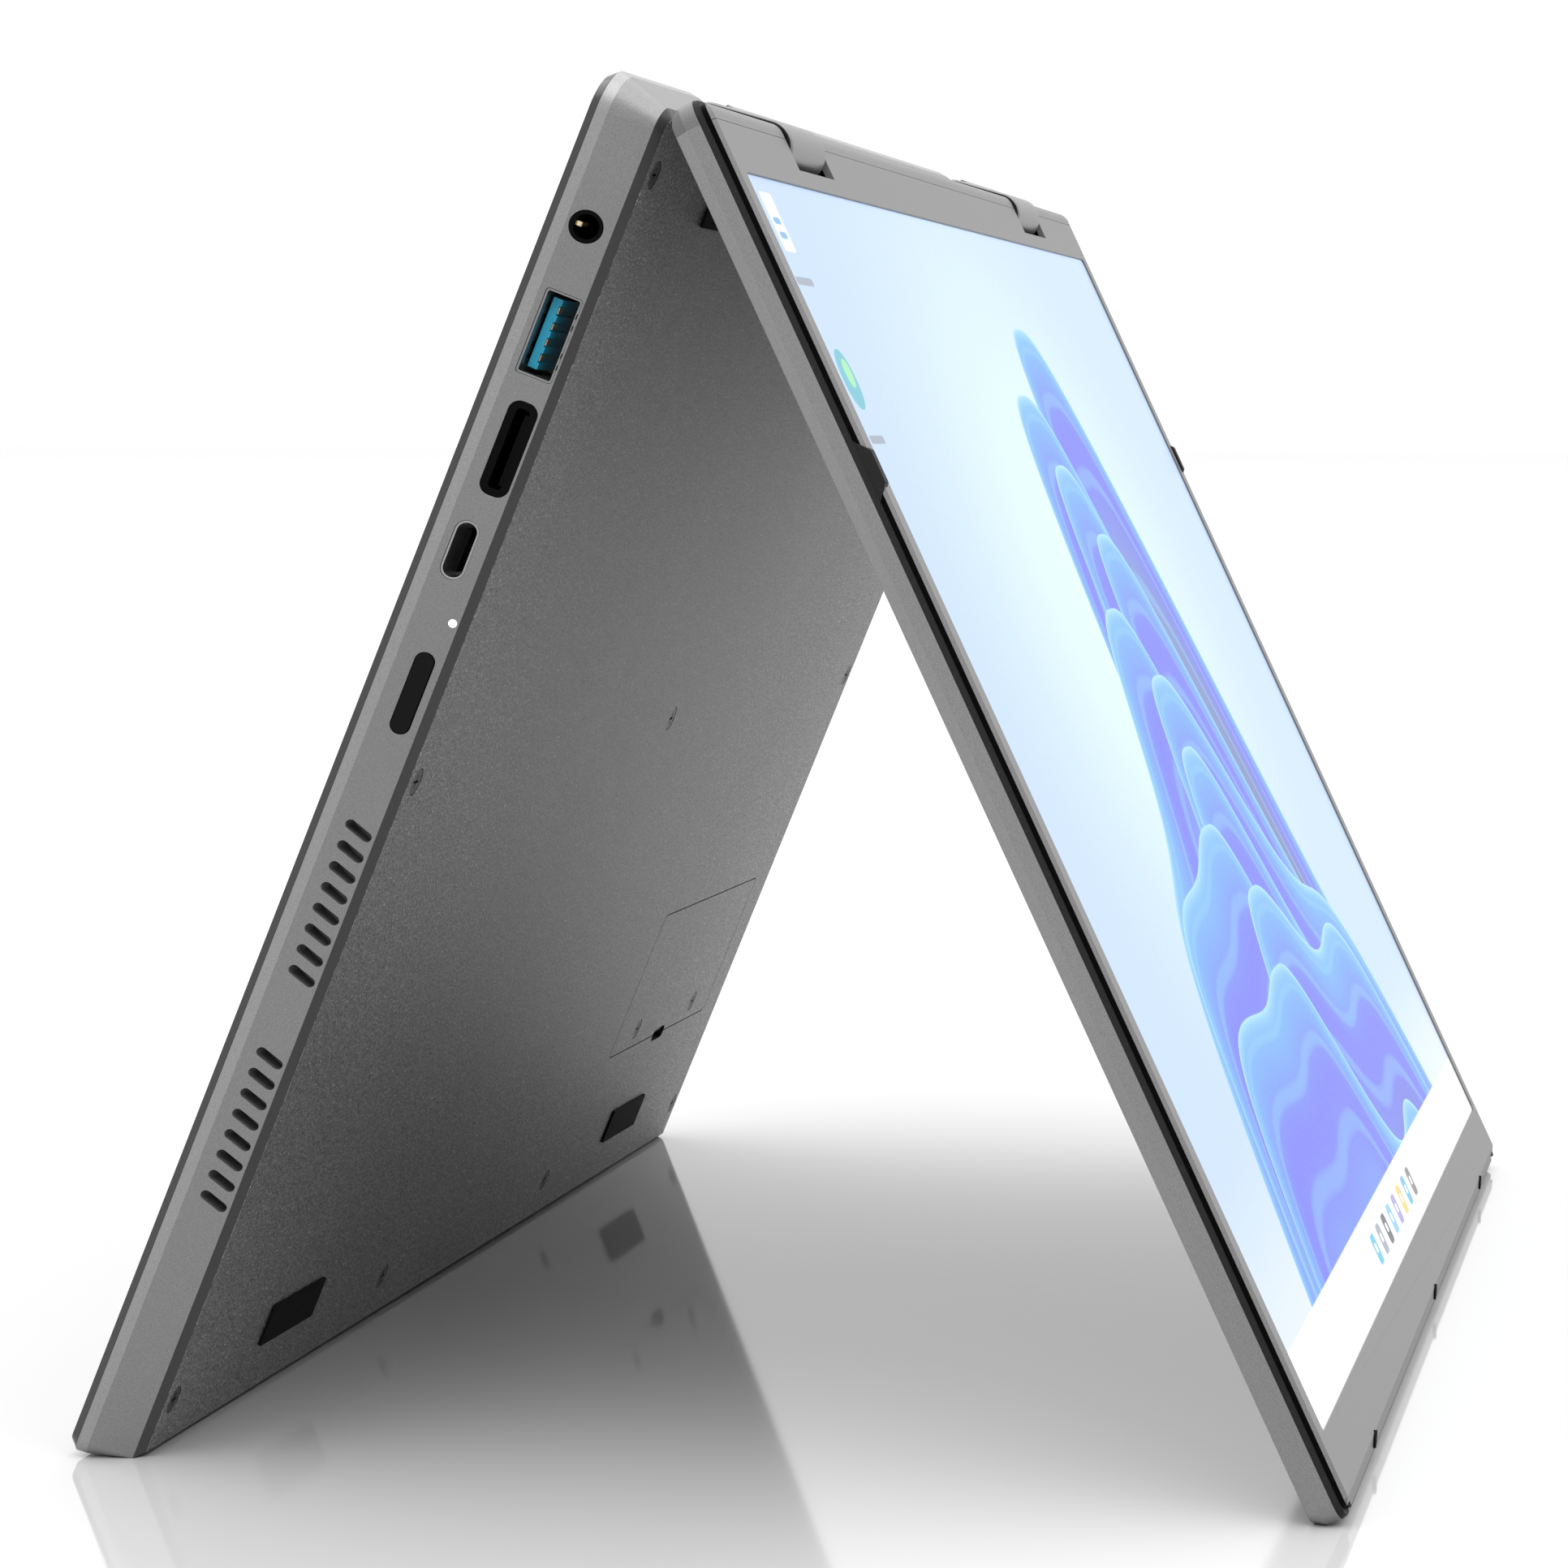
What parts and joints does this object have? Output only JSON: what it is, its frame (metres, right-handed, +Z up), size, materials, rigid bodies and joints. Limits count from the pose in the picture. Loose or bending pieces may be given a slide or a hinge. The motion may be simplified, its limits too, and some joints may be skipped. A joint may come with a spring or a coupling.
{
  "type": "laptop computer",
  "caption": "Convertible laptop standing as a tent: keyboard base and screen lid joined by double-shaft hinges that fold right round, with pressing keys, touchpad, side ports and a fan.",
  "frame": {"origin": "on the standing surface, under the middle of the object's footprint", "axes": "+X along the hinge line, +Z up; the screen faces -Y and the keyboard faces +Y; the side with the round socket, card slot and power button is at -X"},
  "size_m": [0.322, 0.1896, 0.2033],
  "materials": {
    "case_metal": "bead blasted, anodised grey",
    "lid_metal": "bead blasted, anodised grey",
    "deck_trim": "dark satin",
    "cover_paint": "fine textured dark grey",
    "screw_steel": "blackened",
    "rubber": "matt black",
    "bezel_plastic": "fine matt grey",
    "key_plastic": "matt dark grey",
    "frame_plastic": "matt dark grey",
    "plate_metal": "plain",
    "touchpad_glass": "etched, satin",
    "button_metal": "anodised black",
    "port_steel": "plain",
    "tongue_blue": "plain",
    "port_black": "plain",
    "contact_gold": "bright",
    "light_pipe": "glowing white",
    "battery_foil": "black wrap",
    "board": "solder mask",
    "copper": "plain copper",
    "fan_plastic": "plain",
    "screen": "lit display behind glass",
    "panel": "plain"
  },
  "bodies": {
    "base": {"audio_jack": "port_black", "audio_jack_contacts": "contact_gold", "base_hinge_leaves": "port_steel", "base_hinge_shafts": "port_steel", "battery_cells": "battery_foil", "bottom_cover": "cover_paint", "card_slot": "port_black", "card_slot_bed": "port_black", "cover_screws": "screw_steel", "deck_plate": "case_metal", "deck_trim": "deck_trim", "drive_door": "cover_paint", "fan_housing": "plate_metal", "heat_fins": "plate_metal", "heat_pipe": "copper", "keyboard_frame": "frame_plastic", "keyboard_plate": "plate_metal", "mainboard": "board", "port_board": "board", "rubber_feet": "rubber", "side_frame": "case_metal", "speakers": "plate_metal", "status_light": "light_pipe", "storage_drive": "board", "usb_a_contacts": "contact_gold", "usb_a_shells": "port_steel", "usb_a_tongues": "tongue_blue", "usb_c_shells": "port_steel", "usb_c_tongues": "port_black"},
    "hinge_link": {"hinge_links": "case_metal"},
    "lid": {"back_cover": "lid_metal", "hinge_cap": "bezel_plastic", "lid_rim": "rubber", "screen_seal": "rubber", "bezel": "bezel_plastic", "screen_glass": "screen", "screen_panel": "panel", "rubber_dots": "rubber", "lid_magnets": "plate_metal", "lid_hinge_shafts": "port_steel", "lid_hinge_leaves": "port_steel"},
    "function_keys": {"function_keys": "key_plastic"},
    "number_keys": {"number_keys": "key_plastic"},
    "upper_letter_keys": {"upper_letter_keys": "key_plastic"},
    "home_letter_keys": {"home_letter_keys": "key_plastic"},
    "lower_letter_keys": {"lower_letter_keys": "key_plastic"},
    "backspace_key": {"backspace_key": "key_plastic"},
    "tab_key": {"tab_key": "key_plastic"},
    "backslash_key": {"backslash_key": "key_plastic"},
    "caps_lock_key": {"caps_lock_key": "key_plastic"},
    "enter_key": {"enter_key": "key_plastic"},
    "left_shift_key": {"left_shift_key": "key_plastic"},
    "right_shift_key": {"right_shift_key": "key_plastic"},
    "space_bar": {"space_bar": "key_plastic"},
    "left_modifier_keys": {"left_modifier_keys": "key_plastic"},
    "right_modifier_keys": {"right_modifier_keys": "key_plastic"},
    "arrow_keys": {"arrow_keys": "key_plastic"},
    "touchpad": {"touchpad": "touchpad_glass"},
    "power_button": {"power_button": "button_metal"},
    "fan_rotor": {"fan_rotor": "fan_plastic"}
  },
  "joints": [
    {"name": "base_hinge", "type": "hinge", "parent": "base", "child": "hinge_link", "pos_m": [0, 0.00867, 0.19872], "axis": [1, 0, 0], "range_deg": [-180, 0]},
    {"name": "lid_hinge", "type": "hinge", "parent": "hinge_link", "child": "lid", "pos_m": [0, -0.00026, 0.19507], "axis": [1, 0, 0], "range_deg": [-132.4, 47.6]},
    {"name": "function_keys_press", "type": "slide", "parent": "base", "child": "function_keys", "axis": [0, -0.9259, -0.3779], "range_m": [0, 0.0011], "stiffness_N_per_m": 7500, "springref_m": -0.0003},
    {"name": "number_keys_press", "type": "slide", "parent": "base", "child": "number_keys", "axis": [0, -0.9259, -0.3779], "range_m": [0, 0.0011], "stiffness_N_per_m": 6500, "springref_m": -0.0003},
    {"name": "upper_letter_keys_press", "type": "slide", "parent": "base", "child": "upper_letter_keys", "axis": [0, -0.9259, -0.3779], "range_m": [0, 0.0011], "stiffness_N_per_m": 6000, "springref_m": -0.0003},
    {"name": "home_letter_keys_press", "type": "slide", "parent": "base", "child": "home_letter_keys", "axis": [0, -0.9259, -0.3779], "range_m": [0, 0.0011], "stiffness_N_per_m": 5500, "springref_m": -0.0003},
    {"name": "lower_letter_keys_press", "type": "slide", "parent": "base", "child": "lower_letter_keys", "axis": [0, -0.9259, -0.3779], "range_m": [0, 0.0011], "stiffness_N_per_m": 5000, "springref_m": -0.0003},
    {"name": "backspace_key_press", "type": "slide", "parent": "base", "child": "backspace_key", "axis": [0, -0.9259, -0.3779], "range_m": [0, 0.0011], "stiffness_N_per_m": 500, "springref_m": -0.0003},
    {"name": "tab_key_press", "type": "slide", "parent": "base", "child": "tab_key", "axis": [0, -0.9259, -0.3779], "range_m": [0, 0.0011], "stiffness_N_per_m": 500, "springref_m": -0.0003},
    {"name": "backslash_key_press", "type": "slide", "parent": "base", "child": "backslash_key", "axis": [0, -0.9259, -0.3779], "range_m": [0, 0.0011], "stiffness_N_per_m": 500, "springref_m": -0.0003},
    {"name": "caps_lock_key_press", "type": "slide", "parent": "base", "child": "caps_lock_key", "axis": [0, -0.9259, -0.3779], "range_m": [0, 0.0011], "stiffness_N_per_m": 500, "springref_m": -0.0003},
    {"name": "enter_key_press", "type": "slide", "parent": "base", "child": "enter_key", "axis": [0, -0.9259, -0.3779], "range_m": [0, 0.0011], "stiffness_N_per_m": 500, "springref_m": -0.0003},
    {"name": "left_shift_key_press", "type": "slide", "parent": "base", "child": "left_shift_key", "axis": [0, -0.9259, -0.3779], "range_m": [0, 0.0011], "stiffness_N_per_m": 500, "springref_m": -0.0003},
    {"name": "right_shift_key_press", "type": "slide", "parent": "base", "child": "right_shift_key", "axis": [0, -0.9259, -0.3779], "range_m": [0, 0.0011], "stiffness_N_per_m": 500, "springref_m": -0.0003},
    {"name": "space_bar_press", "type": "slide", "parent": "base", "child": "space_bar", "axis": [0, -0.9259, -0.3779], "range_m": [0, 0.0011], "stiffness_N_per_m": 500, "springref_m": -0.0003},
    {"name": "left_modifier_keys_press", "type": "slide", "parent": "base", "child": "left_modifier_keys", "axis": [0, -0.9259, -0.3779], "range_m": [0, 0.0011], "stiffness_N_per_m": 2000, "springref_m": -0.0003},
    {"name": "right_modifier_keys_press", "type": "slide", "parent": "base", "child": "right_modifier_keys", "axis": [0, -0.9259, -0.3779], "range_m": [0, 0.0011], "stiffness_N_per_m": 1000, "springref_m": -0.0003},
    {"name": "arrow_keys_press", "type": "slide", "parent": "base", "child": "arrow_keys", "axis": [0, -0.9259, -0.3779], "range_m": [0, 0.0011], "stiffness_N_per_m": 2000, "springref_m": -0.0003},
    {"name": "touchpad_click", "type": "hinge", "parent": "base", "child": "touchpad", "pos_m": [0, 0.06561, 0.0715], "axis": [1, 0, 0], "range_deg": [-0.35, 0], "stiffness_Nm_per_rad": 10, "springref_deg": 0.11},
    {"name": "power_button_press", "type": "slide", "parent": "base", "child": "power_button", "axis": [1, 0, 0], "range_m": [0, 0.0004], "stiffness_N_per_m": 2500, "springref_m": -0.0002},
    {"name": "fan_spin", "type": "hinge", "parent": "base", "child": "fan_rotor", "pos_m": [-0.052, 0.02656, 0.15331], "axis": [0, 0.9259, 0.3779], "continuous": true}
  ]
}
